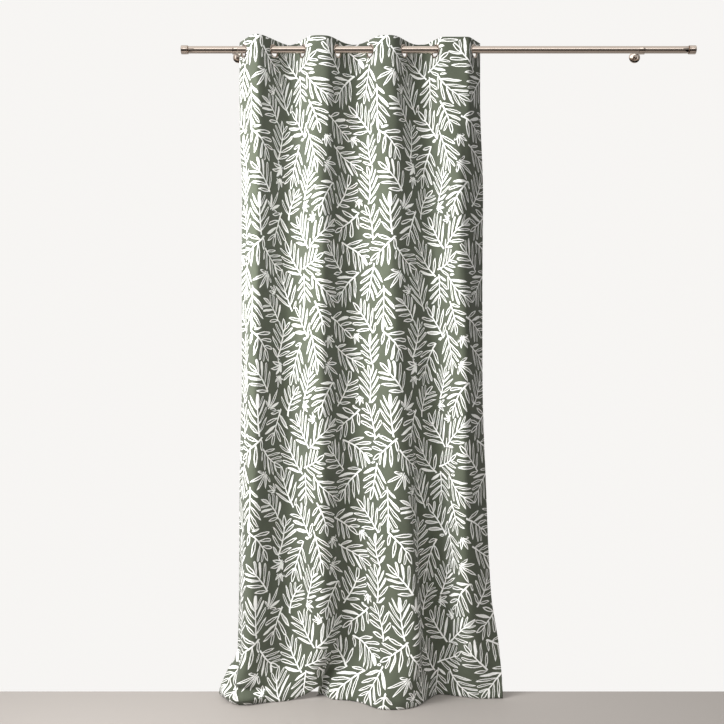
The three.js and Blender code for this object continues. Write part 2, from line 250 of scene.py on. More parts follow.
def cup_strip():
    """The flat bar bent round under the rod: a rounded oblong section carried along the bend, with a
    round end at the lip. Places are from the rod's axis, y backward and z up."""
    middle = rod_radius + clearance + cup_wall / 2
    back_steps, bend_steps, lip_steps, rounding_steps = 5, 40, 12, 3
    line = [(middle, cup_back_height * (1 - step / back_steps)) for step in range(back_steps)]
    line += arc((0, 0), middle, 0, -180, bend_steps)
    widths = [cup_half_width] * len(line)
    for step in range(lip_steps + 1):
        height = cup_lip_height * (step / lip_steps)
        short = max(cup_corner - (cup_lip_height - height), 0)
        widths.append(cup_half_width - cup_corner + (cup_corner**2 - short**2) ** 0.5)
        line.append((-middle, height))
    half_thickness = cup_wall / 2 - cup_edge_rounding
    points, rings = [], []
    for i, ((y, z), width) in enumerate(zip(line, widths)):
        before, after = line[max(i - 1, 0)], line[min(i + 1, len(line) - 1)]
        run = hypot(after[0] - before[0], after[1] - before[1])
        out = ((after[1] - before[1]) / run, -(after[0] - before[0]) / run)
        ring = []
        for side_x, side_out, start in ((1, 1, 0), (-1, 1, 90), (-1, -1, 180), (1, -1, 270)):
            corner = (side_x * (width - cup_edge_rounding), side_out * half_thickness)
            ring += arc(corner, cup_edge_rounding, start, start + 90, rounding_steps)
        rings.append(range(len(points), len(points) + len(ring)))
        points += [(x, y + out[0] * across, z + out[1] * across) for x, across in ring]
    faces = []
    for one, two in zip(rings, rings[1:]):
        for k in range(len(one)):
            following = (k + 1) % len(one)
            faces.append((one[k], two[k], two[following], one[following]))
    faces += [tuple(rings[0]), tuple(reversed(rings[-1]))]
    return points, faces


bracket_metal = satin_metal("bracket_nickel", nickel_colour, (90.0, 900.0, 900.0), 0.06)
flare_radius, flare_end = arm_radius + arm_flare, plate_thickness + arm_flare
arm_end = rod_from_back - rod_radius - clearance - cup_wall / 2
plate_section = [(0, 0), (plate_radius - plate_bevel, 0), (plate_radius, plate_bevel)]
for step in range(dome_steps):
    angle = pi / 2 * step / dome_steps
    dome_radius = flare_radius + (plate_radius - flare_radius) * cos(angle)
    plate_section.append((dome_radius, plate_edge + (plate_thickness - plate_edge) * sin(angle)))
plate_section += arc((flare_radius, flare_end), arm_flare, 270, 180, flare_steps)
plate_section += [(arm_radius, arm_end), (0, arm_end)]
plate_points, plate_faces = turned(plate_section, round_corners)
plate_points = moved(plate_points, Matrix.Rotation(pi / 2, 4, "X"))
cup_points, cup_faces = cup_strip()
cup_points = moved(cup_points, Matrix.Translation((0, -rod_from_back, 0)))
bracket_points = plate_points + cup_points
bracket_faces = plate_faces + [tuple(len(plate_points) + k for k in face) for face in cup_faces]
for side, place in zip(("left", "right"), bracket_places):
    here = moved(bracket_points, Matrix.Translation((place, 0, 0)))
    bracket = make_piece(f"bracket_{side}_shown", here, bracket_faces, [bracket_metal])
    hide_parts(f"bracket_{side}")


# Curtain rod
# One round steel tube, 2 m long, 28 mm across and of steel 1.2 mm thick. It is drawn and plated in
# the same satin nickel, lies in the two cups, and runs past them at both ends.
rod_low, rod_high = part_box("rod")
rod_wall = 0.0012
rod_steps, rod_corners = 40, 128
rod_metal = satin_metal("rod_nickel", nickel_colour, (6.0, 700.0, 700.0), 0.07)
rod_length = rod_high.x - rod_low.x
rod_section = [(rod_radius - rod_wall, 0)]
rod_section += [(rod_radius, rod_length * step / rod_steps) for step in range(rod_steps + 1)]
rod_section += [(rod_radius - rod_wall, rod_length)]
rod_points, rod_faces = turned(rod_section, rod_corners)
at = Matrix.Translation((rod_low.x, -rod_from_back, 0)) @ Matrix.Rotation(pi / 2, 4, "Y")
rod = make_piece("rod_shown", moved(rod_points, at), rod_faces, [rod_metal])
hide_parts("rod")


# End caps
# A turned cup of plated steel pushed over each end of the rod, with a groove cut round it near its
# mouth and its edges taken off.
cap_radius, cap_length, cap_end_wall = 0.017, 0.026, 0.003
cap_bevel, cap_lip, cap_end_ring = 0.0015, 0.0004, 0.004
groove_depth, groove_from, groove_to = 0.0008, 0.021, 0.023
bevel_steps, lip_steps = 8, 4
cap_metal = satin_metal("cap_nickel", nickel_colour, (900.0, 60.0, 60.0), 0.10)
cap_inner = rod_radius + clearance
outer, inner = cap_radius - cap_lip, cap_radius - groove_depth + cap_lip
cap_section = [(0, 0), (cap_radius - cap_bevel - cap_end_ring, 0)]
cap_section += arc((cap_radius - cap_bevel, cap_bevel), cap_bevel, 270, 360, bevel_steps)
# Both edges of the groove are S-bends: their second arc starts where the first one ends
cap_section += arc((outer, groove_from - cap_lip), cap_lip, 0, 90, lip_steps)
cap_section += arc((inner, groove_from + cap_lip), cap_lip, 270, 180, lip_steps)[1:]
cap_section += arc((inner, groove_to - cap_lip), cap_lip, 180, 90, lip_steps)
cap_section += arc((outer, groove_to + cap_lip), cap_lip, 270, 360, lip_steps)[1:]
cap_section += arc((outer, cap_length - cap_lip), cap_lip, 0, 90, lip_steps)
cap_section += [(cap_inner, cap_length), (cap_inner, cap_end_wall), (0, cap_end_wall)]
cap_points, cap_faces = turned(cap_section, round_corners)
for side, place, facing in (("left", cad_box[0].x, 1), ("right", cad_box[1].x, -1)):
    at = Matrix.Translation((place, -rod_from_back, 0)) @ Matrix.Rotation(facing * pi / 2, 4, "Y")
    cap = make_piece(f"end_cap_{side}_shown", moved(cap_points, at), cap_faces, [cap_metal])
    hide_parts(f"end_cap_{side}")


# Curtain panel
# One width of plain-weave cotton, 1.40 by 2.60 m, hemmed all round and printed with white leaf sprigs
# over sage green. It hangs from its eyelets in four front folds, and spreads a little on the floor.
cloth_width = 1.400
cloth_above_rod = 0.0396
floor_level = -2.530
cloth_height = cloth_above_rod - floor_level
face_half, hem_layer = 0.0006, 0.0007
side_hem, heading_depth, bottom_hem = 0.018, 0.100, 0.080
eyelet_margin, eyelet_drop = 0.056, 0.0054
eyelets_along_rod = (0.034, 0.150, 0.263, 0.397, 0.525, 0.656, 0.779, 0.928)
eyelet_pitch = (cloth_width - 2 * eyelet_margin) / (len(eyelets_along_rod) - 1)
eyelet_centres = [eyelet_margin + i * eyelet_pitch for i in range(len(eyelets_along_rod))]
eyelet_depth = cloth_above_rod + eyelet_drop
eyelet_flat = 0.028
hole_radius = 0.0223
crossing_angle, left_edge_angle = radians(58), radians(88)
heading_down_to = 2.380
section_step = 0.002
tolerance = 1e-6


def table(columns, *rows):
    """The values of each row by the names of their columns"""
    return [dict(zip(columns.split(), row)) for row in rows]


# The folds, a row for each height above the floor. along and out are the places of the left edge,
# front fold 1, back fold 1, front 2, back 2, front 3, its shoulder and its steep side, back 3, front 4
# and the right edge, along the rod and forward from the brackets' backs. The last row is where the
# hem lies on the floor.
fold_rows = table(
    "height along out",
    (
        1.950,
        (0.020, 0.090, 0.201, 0.334, 0.445, 0.596, 0.623, 0.692, 0.761, 0.865, 0.970),
        (0.055, 0.152, 0.045, 0.153, 0.045, 0.152, 0.146, 0.095, 0.045, 0.152, 0.050),
    ),
    (
        1.285,
        (0.020, 0.082, 0.201, 0.335, 0.449, 0.604, 0.638, 0.700, 0.777, 0.880, 0.967),
        (0.050, 0.152, 0.042, 0.150, 0.042, 0.155, 0.148, 0.097, 0.042, 0.150, 0.052),
    ),
    (
        0.780,
        (0.009, 0.071, 0.209, 0.339, 0.453, 0.618, 0.672, 0.702, 0.790, 0.884, 0.982),
        (0.050, 0.152, 0.045, 0.148, 0.042, 0.160, 0.152, 0.100, 0.036, 0.148, 0.060),
    ),
    (
        0.400,
        (0.008, 0.063, 0.213, 0.339, 0.455, 0.632, 0.696, 0.718, 0.800, 0.897, 1.001),
        (0.050, 0.154, 0.050, 0.140, 0.040, 0.172, 0.166, 0.098, 0.030, 0.138, 0.062),
    ),
    (
        0.196,
        (0.004, 0.056, 0.214, 0.340, 0.441, 0.640, 0.708, 0.728, 0.812, 0.911, 1.030),
        (0.048, 0.155, 0.062, 0.128, 0.038, 0.184, 0.176, 0.108, 0.028, 0.120, 0.072),
    ),
    (
        0.0,
        (
            *(-0.070, -0.023, 0.029, 0.122, 0.183, 0.224, 0.272, 0.316, 0.338, 0.331, 0.319, 0.322),
            *(0.340, 0.372, 0.466, 0.552, 0.592, 0.691, 0.745, 0.800, 0.832, 0.934, 1.043),
        ),
        (
            *(0.040, 0.118, 0.156, 0.129, 0.118, 0.104, 0.095, 0.092, 0.080, 0.066, 0.052, 0.042),
            *(0.050, 0.091, 0.118, 0.193, 0.207, 0.181, 0.105, 0.038, 0.046, 0.084, 0.084),
        ),
    ),
)
hem_curl, curl_depth = 0.009, 0.0054
hem_lift = {"across": (0.340, 0.400, 0.475, 0.525), "height": (0.0, 0.014, 0.050, 0.0), "reach": 0.240}

# Soft creases: where each starts and ends on the flat cloth, as (across, up from the hem), how far
# it reaches to its sides, and how far it stands out, or in where it is a trough
creases = table(
    "start end side out",
    ((0.020, 0.190), (0.100, 0.050), 0.020, -0.008),
    ((0.000, 0.120), (0.060, 0.050), 0.022, 0.006),
    ((0.020, 0.028), (0.250, 0.024), 0.015, 0.020),
    ((0.040, 0.062), (0.245, 0.054), 0.012, -0.014),
    ((0.085, 0.085), (0.120, 0.012), 0.008, -0.007),
    ((0.135, 0.070), (0.160, 0.006), 0.007, -0.006),
    ((0.185, 0.080), (0.215, 0.010), 0.010, -0.003),
    ((0.250, 0.260), (0.330, 0.060), 0.024, -0.005),
    ((0.400, 0.170), (0.462, 0.020), 0.016, 0.004),
    ((0.610, 0.230), (0.740, 0.060), 0.026, -0.005),
    ((0.800, 0.060), (0.930, 0.022), 0.014, 0.005),
    ((0.960, 1.150), (0.985, 0.060), 0.012, 0.005),
    ((1.000, 1.050), (1.030, 0.080), 0.016, -0.006),
    ((1.150, 0.330), (1.220, 0.070), 0.022, -0.004),
    ((1.290, 0.200), (1.370, 0.030), 0.018, 0.004),
)
waves = {"count": 14, "across": (0.055, 0.170), "down": (0.500, 1.700), "height": 0.0016}
# A crease fades towards its ends by part of a sine wave: where that starts, and how far it runs
fading_from, fading_run, fading_power = 0.12, 0.76, 0.7
wave_seed, print_seed = 5, 4


def solve(rising, wanted, low, high, halvings=40):
    """Where a rising function of one number reaches a wanted value"""
    for _ in range(halvings):
        middle = (low + high) / 2
        if rising(middle) < wanted:
            low = middle
        else:
            high = middle
    return (low + high) / 2


def smoothstep(value, low, high):
    share = np.clip((value - low) / (high - low), 0, 1)
    return share * share * (3 - 2 * share)


def heading_lean(across, sharpness):
    """How far the heading leans from the rod at places across it: steady beside each eyelet, and
    turning over through zero at the crest of the fold between two of them"""
    from_first = across - eyelet_margin
    fold = np.clip(np.floor(from_first / eyelet_pitch), 0, len(sharpness) - 1).astype(int)
    free = eyelet_pitch - 2 * eyelet_flat
    turn = np.cos(pi * np.clip((from_first - fold * eyelet_pitch - eyelet_flat) / free, 0, 1))
    lean = crossing_angle * np.sign(turn) * np.abs(turn) ** np.asarray(sharpness)[fold]
    lean = np.where(fold % 2, -lean, lean)
    flap = np.clip((-eyelet_flat - from_first) / (eyelet_margin - eyelet_flat), 0, 1)
    return lean + (left_edge_angle - crossing_angle) * flap


def heading_section():
    """The heading seen from above: x and y at each step across the cloth"""
    folds = len(eyelets_along_rod) - 1
    middles = np.arange(section_step / 2, cloth_width, section_step)
    sharpness = []
    for fold, start in enumerate(eyelet_centres[:-1]):
        places = np.arange(start + section_step / 2, start + eyelet_pitch, section_step)
        reach_of = lambda power: np.cos(heading_lean(places, [2**power] * folds)).sum() * section_step
        reach = eyelets_along_rod[fold + 1] - eyelets_along_rod[fold]
        sharpness.append(2 ** solve(reach_of, reach, -6, 6))
    lean = heading_lean(middles, sharpness)
    steps = np.stack([np.cos(lean), -np.sin(lean)], 1) * section_step
    line = np.vstack([[0, 0], np.cumsum(steps, 0)])
    first_eyelet = line[round(eyelet_margin / section_step)]
    return line + (eyelets_along_rod[0], -rod_from_back) - first_eyelet


def rounded_line(stops, per_span=64):
    """A smooth line through points: a Catmull-Rom curve with spans weighted by their root length"""
    stops = np.vstack([2 * stops[0] - stops[1], stops, 2 * stops[-1] - stops[-2]])
    weights = np.hypot(*np.diff(stops, axis=0).T) ** 0.5
    t = np.linspace(0, 1, per_span, endpoint=False)[:, None]
    line = []
    for i in range(1, len(stops) - 2):
        p0, p1, p2, p3 = stops[i - 1 : i + 3]
        w0, w1, w2 = weights[i - 1 : i + 2]
        leaving = ((p1 - p0) / w0 - (p2 - p0) / (w0 + w1) + (p2 - p1) / w1) * w1
        arriving = ((p2 - p1) / w1 - (p3 - p1) / (w1 + w2) + (p3 - p2) / w2) * w1
        squared = 3 * (p2 - p1) - 2 * leaving - arriving
        cubed = 2 * (p1 - p2) + leaving + arriving
        line.append(p1 + leaving * t + squared * t**2 + cubed * t**3)
    return np.vstack([*line, stops[-2]])


def fold_section(row):
    """A lower section: a smooth line through its folds, their depth set so that it holds the whole
    width, with a point at each step across the cloth"""
    out = np.array(row["out"])
    line_of = lambda depth: rounded_line(
        np.stack([row["along"], -(out.mean() + depth * (out - out.mean()))], 1)
    )
    length_of = lambda depth: np.hypot(*np.diff(line_of(depth), axis=0).T).sum()
    line = line_of(solve(length_of, cloth_width, 0.5, 2))
    gone = np.concatenate([[0], np.cumsum(np.hypot(*np.diff(line, axis=0).T))])
    wanted = np.linspace(0, gone[-1], round(cloth_width / section_step) + 1)
    return np.stack([np.interp(wanted, gone, line[:, 0]), np.interp(wanted, gone, line[:, 1])], 1)


def smooth_values(places, values, wanted):
    """Smooth lines through values at rising places, with no overshoot and level at both ends. values
    has a row for each place and a column for each wanted one."""
    places, values = np.asarray(places, float), np.asarray(values, float)
    shape = (-1,) + (1,) * (values.ndim - 2)
    rises = np.diff(values, axis=0) / np.diff(places).reshape(-1, 1, *shape[1:])
    before, after = rises[:-1], rises[1:]
    same = before * after > 0
    mean = np.where(same, 2 * before * after / np.where(same, before + after, 1), 0)
    level = np.zeros_like(values[:1])
    slopes = np.concatenate([level, mean, level])
    wanted = np.clip(wanted, places[0], places[-1])
    i = np.clip(np.searchsorted(places, wanted) - 1, 0, len(places) - 2)
    each = np.arange(wanted.size)
    run = (places[i + 1] - places[i]).reshape(shape)
    t = (wanted - places[i]).reshape(shape) / run
    return (
        values[i, each] * (1 + 2 * t) * (1 - t) ** 2
        + values[i + 1, each] * t * t * (3 - 2 * t)
        + slopes[i, each] * run * t * (1 - t) ** 2
        - slopes[i + 1, each] * run * t * t * (1 - t)
    )


def spread(stops):
    """Places from the first stop to the last, each stop among them. A stop is a place and the longest
    step that the mesh may take after it."""
    places = [stops[0][0]]
    for (low, longest), (high, _) in zip(stops, stops[1:]):
        steps = max(round((high - low) / longest), 1)
        places += [low + (high - low) * step / steps for step in range(1, steps + 1)]
    return np.array(places)


# Places across: each eyelet has its own stretch, so that the mesh can be drawn round its hole
edge_step, fold_step, ring_step, hole_step = 0.0045, 0.0055, 0.006, 0.0056
stops = [(0, edge_step), (side_hem, fold_step)]
for centre in eyelet_centres:
    stops += [(centre - eyelet_flat, ring_step), (centre - hole_radius, hole_step)]
    stops += [(centre + hole_radius, ring_step), (centre + eyelet_flat, fold_step)]
across = spread([*stops, (cloth_width - side_hem, edge_step), (cloth_width, 0)])
# Places down: close together at the heading and near the floor
stops = [(0, ring_step), (eyelet_depth - eyelet_flat, ring_step)]
stops += [(eyelet_depth - hole_radius, hole_step), (eyelet_depth + hole_radius, ring_step)]
stops += [(eyelet_depth + eyelet_flat, 0.009), (heading_depth, 0.015), (0.300, 0.025)]
stops += [(cloth_height - 0.400, 0.0085), (cloth_height - bottom_hem, 0.006)]
depths = spread([*stops, (cloth_height - hem_curl, 0.0018), (cloth_height, 0)])


def square_to_round(across, depths):
    """The grid of places on the flat cloth, with its square rings round each eyelet drawn into
    circles, so that the hole left by the inner ones is round"""
    flat = np.stack(np.meshgrid(across, depths), -1)
    for middle in eyelet_centres:
        centre = np.array([middle, eyelet_depth])
        away = flat - centre
        square = np.abs(away).max(-1)
        round_ = np.hypot(away[..., 0], away[..., 1])
        drawn = 1 - smoothstep(square, hole_radius, eyelet_flat - tolerance)
        scale = 1 + drawn * (square / np.where(round_ > 0, round_, 1) - 1)
        flat = centre + away * scale[..., None]
    return flat


def in_hole(across, depth):
    """Whether places on the grid are inside an eyelet's hole"""
    inside = np.zeros(np.broadcast(across, depth).shape, bool)
    for centre in eyelet_centres:
        inside |= np.maximum(np.abs(across - centre), np.abs(depth - eyelet_depth)) < hole_radius
    return inside


def hung(flat):
    """Where places on the flat cloth, as (across, down), come to be when it hangs"""
    heading = heading_section()
    section_depths = [0, cloth_height - heading_down_to]
    section_depths += [cloth_height - row["height"] for row in fold_rows]
    sections = np.array([heading, heading, *[fold_section(row) for row in fold_rows]])
    steps = np.arange(sections.shape[1]) * section_step
    shape = flat.shape[:2]
    across, depth = flat[..., 0].ravel(), flat[..., 1].ravel()
    lines = np.array([[np.interp(across, steps, way) for way in section.T] for section in sections])
    plan = smooth_values(section_depths, lines.transpose(0, 2, 1), depth)
    lifts = np.repeat(np.array(hem_lift["height"])[:, None], across.size, 1)
    lift = smooth_values(hem_lift["across"], lifts, across)
    raised = lift * smoothstep(depth, cloth_height - hem_lift["reach"], cloth_height)
    height = cloth_above_rod - depth + raised
    return np.concatenate([plan, height[:, None]], 1).reshape(*shape, 3)


def relief(flat):
    """How far the cloth stands out from its smooth folds: its creases, and slow shallow waves"""
    across, up = flat[..., 0], cloth_height - flat[..., 1]
    out = np.zeros(across.shape)
    for crease in creases:
        start, end = np.array(crease["start"]), np.array(crease["end"])
        run = end - start
        share = ((across - start[0]) * run[0] + (up - start[1]) * run[1]) / (run @ run)
        nearest = np.clip(share, 0, 1)
        off = np.hypot(across - start[0] - nearest * run[0], up - start[1] - nearest * run[1])
        fading = np.sin(pi * np.clip(fading_from + fading_run * share, 0, 1)) ** fading_power
        out += crease["out"] * fading * np.exp(-((off / crease["side"]) ** 2))
    rng = np.random.default_rng(wave_seed)
    for _ in range(waves["count"]):
        across_pitch = rng.uniform(*waves["across"])
        down_pitch = rng.uniform(*waves["down"]) * rng.choice([-1, 1])
        phase = rng.uniform(0, 2 * pi)
        height = waves["height"] * rng.uniform(0.3, 1) / waves["count"] ** 0.5
        out += height * np.sin(2 * pi * (across / across_pitch + up / down_pitch) + phase)
    return out * smoothstep(flat[..., 1], heading_depth, 3 * heading_depth)


def facing_of(grid):
    """The way the printed face of the cloth faces at each point of a grid"""
    down, along = np.gradient(grid, axis=0), np.gradient(grid, axis=1)
    facing = np.cross(down, along)
    facing[-1, :, 2] = 0
    return facing / np.linalg.norm(facing, axis=-1, keepdims=True)


def draped(flat):
    """Where a grid of places on the flat cloth comes to lie, and the way its face faces there"""
    middle = hung(flat)
    middle = middle + facing_of(middle) * relief(flat)[..., None]
    foot = np.clip(1 - (cloth_height - flat[..., 1]) / hem_curl, 0, 1)
    middle = middle - facing_of(middle) * (curl_depth * foot**2)[..., None]
    middle[..., 2] = np.maximum(middle[..., 2], floor_level)
    return middle, facing_of(middle)


def cloth_mesh():
    """Points, faces, the material of each face, each point's place on the flat cloth, and how many
    points the printed face has. The face and the reverse are grids a little apart, joined at rims."""
    flat = square_to_round(across, depths)
    middle, facing = draped(flat)
    edge = np.minimum(flat[..., 0], cloth_width - flat[..., 0])
    hemmed = (edge < side_hem + tolerance) | (flat[..., 1] < heading_depth + tolerance)
    hemmed |= flat[..., 1] > cloth_height - bottom_hem - tolerance
    back_half = face_half + hem_layer * hemmed
    half = flat[..., 0].size
    printed = (middle + facing * face_half).reshape(-1, 3)
    reverse = (middle - facing * back_half[..., None]).reshape(-1, 3)
    points = np.concatenate([printed, reverse])
    number = np.arange(half).reshape(flat.shape[:2])
    middle_across, middle_down = (across[1:] + across[:-1]) / 2, (depths[1:] + depths[:-1]) / 2
    solid = ~in_hole(middle_across[None], middle_down[:, None])
    a, b, c, d = number[:-1, :-1], number[1:, :-1], number[1:, 1:], number[:-1, 1:]
    front = np.stack([a, b, c, d], -1)[solid]
    back = np.stack([d, c, b, a], -1)[solid] + half
    # A rim wherever cloth meets no cloth: the outer edges and the holes
    padded = np.pad(solid, 1)
    rims = []
    for start, end, beyond in (
        (a, b, padded[1:-1, :-2]),
        (b, c, padded[2:, 1:-1]),
        (c, d, padded[1:-1, 2:]),
        (d, a, padded[:-2, 1:-1]),
    ):
        edge_here = solid & ~beyond
        one, two = start[edge_here], end[edge_here]
        rims.append(np.stack([two, one, one + half, two + half], -1))
    rim = np.concatenate(rims)
    faces = np.concatenate([front, back, rim])
    finish = np.repeat([0, 1, 0], [len(front), len(back), len(rim)])
    return points, faces, finish, flat.reshape(-1, 2), half


cloth_points, cloth_faces, cloth_finish, cloth_place, cloth_half = cloth_mesh()

# The print: leaf sprigs tossed over a repeat of 720 by 775 mm, a row for each size with its half
# length and half width, and small tufts in the open places between them
print_repeat = np.array([0.720, 0.775])
sprig_sizes = table(
    "count half growth",
    (10, (0.084, 0.067), "feather"),
    (8, (0.070, 0.060), "feather"),
    (9, (0.094, 0.057), "feather"),
    (8, (0.080, 0.065), "branch"),
    (3, (0.054, 0.050), "tuft"),
)
small_tufts = {"count": 8, "half": (0.030, 0.044), "fills": 1.4, "width": 0.9, "grid": 0.008}
sprigs = [row for row in sprig_sizes for _ in range(row["count"])]
sprig_half, sprig_growth = np.array([row["half"] for row in sprigs]), [row["growth"] for row in sprigs]
first_branch, first_tuft = sprig_growth.index("branch"), sprig_growth.index("tuft")
sprig_lean = radians(65)
easing = {"rounds": 500, "nearness": 0.88, "share": 0.15}
ground_lit, ground_deep = (0.088, 0.100, 0.072), (0.070, 0.080, 0.057)
print_white = (0.85, 0.85, 0.83)
reverse_ground, reverse_print = (0.42, 0.44, 0.38), (0.58, 0.59, 0.55)


def oval_reach(apart, angle, half):
    """How far each sprig's oval reaches towards places that lie apart from its middle"""
    turn = np.arctan2(apart[..., 1], apart[..., 0]) - angle[:, None]
    return 1 / np.hypot(np.cos(turn) / half[:, :1], np.sin(turn) / half[:, 1:])


def toss_sprigs():
    """Each sprig's place on the repeat, its angle and its half sizes: thrown anyhow, most of them
    upright or hanging, then eased apart. Each small tuft goes into the widest open place."""
    rng = np.random.default_rng(print_seed)
    half, count = sprig_half, len(sprig_half)
    place = rng.random((count, 2)) * print_repeat
    angle = rng.permutation(count) % 2 * pi + pi / 2 + rng.uniform(-1, 1, count) * sprig_lean
    wrap = lambda apart: (apart + print_repeat / 2) % print_repeat - print_repeat / 2
    for _ in range(easing["rounds"]):
        apart = wrap(place[None] - place[:, None])
        gap = np.hypot(apart[..., 0], apart[..., 1]) + 1e-9
        reach = oval_reach(apart, angle, half)
        push = np.clip(easing["nearness"] * (reach + reach.T) - gap, 0, None)
        np.fill_diagonal(push, 0)
        moves = (apart / gap[..., None] * push[..., None]).sum(1)
        place = (place - easing["share"] * moves) % print_repeat
    ways = [np.arange(0, size, small_tufts["grid"]) for size in print_repeat]
    grid = np.stack(np.meshgrid(*ways), -1).reshape(-1, 2)
    for _ in range(small_tufts["count"]):
        apart = wrap(grid[None] - place[:, None])
        open_ = (np.hypot(apart[..., 0], apart[..., 1]) - oval_reach(apart, angle, half)).min(0)
        size = np.clip(open_.max() * small_tufts["fills"], *small_tufts["half"])
        place = np.vstack([place, grid[open_.argmax()]])
        angle = np.append(angle, rng.uniform(0, 2 * pi))
        half = np.vstack([half, [size, small_tufts["width"] * size]])
    return place, angle, half


def nearest_sprig(finish, place):
    """For the sprig whose oval a place on the cloth is deepest in: the place in it, from -1 to 1
    along and across, the sprig's number, and how much nearer it is than the next one"""
    half_repeat = (*(print_repeat / 2), 1.0)
    second = 9.0  # farther off than any sprig
    number_share = 1e-4  # the number rides in z, too small to count in the length
    for number, (centre, angle, half) in enumerate(zip(*toss_sprigs())):
        away = place.vector("SUBTRACT", (*centre, 0.0))
        away = away.vector("WRAP", half_repeat, tuple(-v for v in half_repeat))
        stem_way = (cos(angle) / half[0], sin(angle) / half[0], 0.0)
        cross_way = (-sin(angle) / half[1], cos(angle) / half[1], 0.0)
        sockets = [away.along(stem_way), away.along(cross_way), number * number_share]
        oval = finish.add("ShaderNodeCombineXYZ", {}, sockets)
        far = oval.vector("LENGTH")
        if number == 0:
            nearest, local = far, oval
            continue
        second = far.most(nearest).least(second)
        sockets = {"Factor_Float": far < nearest, "A_Vector": local, "B_Vector": oval}
        local = finish.add("ShaderNodeMix", {"data_type": "VECTOR"}, sockets, 1)
        nearest = far.least(nearest)
    number = (local.part("Z") / number_share).math("ROUND")
    return local.part("X"), local.part("Y"), number, second - nearest


def luck(finish, one, two, three):
    """A number from 0 to 1 that looks like chance, and is the same for the same three numbers"""
    at = finish.add("ShaderNodeCombineXYZ", {}, [one, two, three])
    return finish.add("ShaderNodeTexWhiteNoise", {}, {"Vector": at})


def leaflet_drawn(along_share, off_middle, half, line, chance):
    """A pointed leaflet: drawn as an outline, brushed in thinly or filled. Its share of the way
    from root to tip, how far off its middle line, its half width and its outline's width."""
    pointed, brushed_in, filled_in, thin_ink, more_ink = 0.85, 0.26, 0.10, 0.45, 0.55
    edge = half * (4 * along_share * (1 - along_share)).held() ** pointed
    brushed = (chance < brushed_in) * (thin_ink + more_ink * (chance < filled_in))
    inside = off_middle < edge - line
    return (off_middle < edge) * (1 - inside * (1 - brushed))


def leafy_stem(finish, along, cross, number, crowding):
    """Feathers and branches: rows of leaflets that slant more towards the stem's tip, and one that
    ends it. A branch has fewer rows."""
    is_branch = (number > first_branch - 0.5) * (1 - (number > first_tuft - 0.5))
    stem_foot, stem_top, tip, stem_half, stem_taper = -1.0, 0.40, 1.12, 0.040, 0.02
    # A feather's measures, how much a branch's differ, and what is left to luck
    row_gap, wider_gap, row_shift, wider_shift = 0.32, 0.05, 0.08, 0.17
    row_lean, less_lean, lean_luck, steeper = 0.90, 0.08, 0.3, 0.35
    side = cross.math("SIGN")
    off_stem = abs(cross)
    spacing = row_gap + wider_gap * is_branch
    stagger = side * (row_shift + wider_shift * is_branch) + luck(finish, 2.0, 7.0, number)
    lean = row_lean - less_lean * is_branch + lean_luck * (luck(finish, 5.0, 1.0, number) - 0.5)
    row = (along - off_stem * lean) / (1 + steeper * off_stem) / spacing + stagger
    leaflet = row.math("FLOOR")
    start = (leaflet + 0.5 - stagger) * spacing
    # A leaflet ends near the sprig's oval, and the lowest are shorter
    oval_size, least_reach, reach_luck = 1.15, 0.86, 0.22
    lowest_reach, higher_reach, low_from, low_run = 0.55, 0.45, 1.05, 0.5
    slant = lean + steeper * start
    square = slant * slant + 1
    reach = ((oval_size * square - start * start).most(0.0) ** 0.5 - start * slant) / square
    reach = reach * (least_reach + reach_luck * luck(finish, leaflet, side, number + 50))
    reach = reach * (lowest_reach + higher_reach * ((start + low_from) / low_run).held())
    leaf_half, leaf_line, leaf_bend, end_half, end_line, end_overlap = 0.265, 0.14, 0.22, 0.13, 0.06, 0.15
    share = off_stem / reach
    chance = luck(finish, leaflet, side, number)
    off_middle = abs(row - leaflet - 0.5 + leaf_bend * (chance - 0.5) * share)
    leaflets = leaflet_drawn(share, off_middle, leaf_half * crowding, leaf_line, chance)
    leaflets = leaflets * ((start < stem_top) * (start > stem_foot))
    end_share = (along - stem_top + end_overlap) / (tip - stem_top)
    end_leaf = leaflet_drawn(end_share, off_stem, end_half, end_line, luck(finish, 6.0, 3.0, number))
    stem = (off_stem < stem_half - stem_taper * along) * (along > stem_foot) * (along < stem_top)
    return leaflets.most(end_leaf).most(stem)


def leafy_tuft(finish, along, cross, number, crowding):
    """Tufts: leaflets that spread like rays from the foot of a short stem"""
    foot_at, foot_half, foot_low, foot_top = 0.8, 0.045, -0.05, 0.4
    root, ray_turn, widest_turn, least_reach, reach_luck = 0.12, 0.58, 1.3, 0.72, 0.28
    # A leaflet's half width and outline, each with what a small tuft adds
    ray_half, wider, ray_line, bolder = 0.12, 0.06, 0.07, 0.04
    from_foot = along + foot_at
    far = (from_foot * from_foot + cross * cross).math("SQRT")
    turn = cross.math("ARCTAN2", from_foot)
    ray = (turn / ray_turn + 0.5).math("FLOOR")
    ray_angle = ray * ray_turn
    off_ray = abs(turn - ray_angle) * far
    chance = luck(finish, ray, 3.0, number)
    level = foot_at * ray_angle.math("COSINE")
    reach = level + (level * level + (1 - foot_at**2)).math("SQRT")
    reach = reach * (least_reach + reach_luck * chance)
    is_small = number > len(sprig_half) - 0.5
    half, line = (ray_half + wider * is_small) * crowding, ray_line + bolder * is_small
    leaflets = leaflet_drawn((far - root) / (reach - root), off_ray, half, line, chance)
    foot = (abs(cross) < foot_half) * (from_foot > foot_low) * (from_foot < foot_top)
    return (leaflets * (abs(turn) < widest_turn)).most(foot)


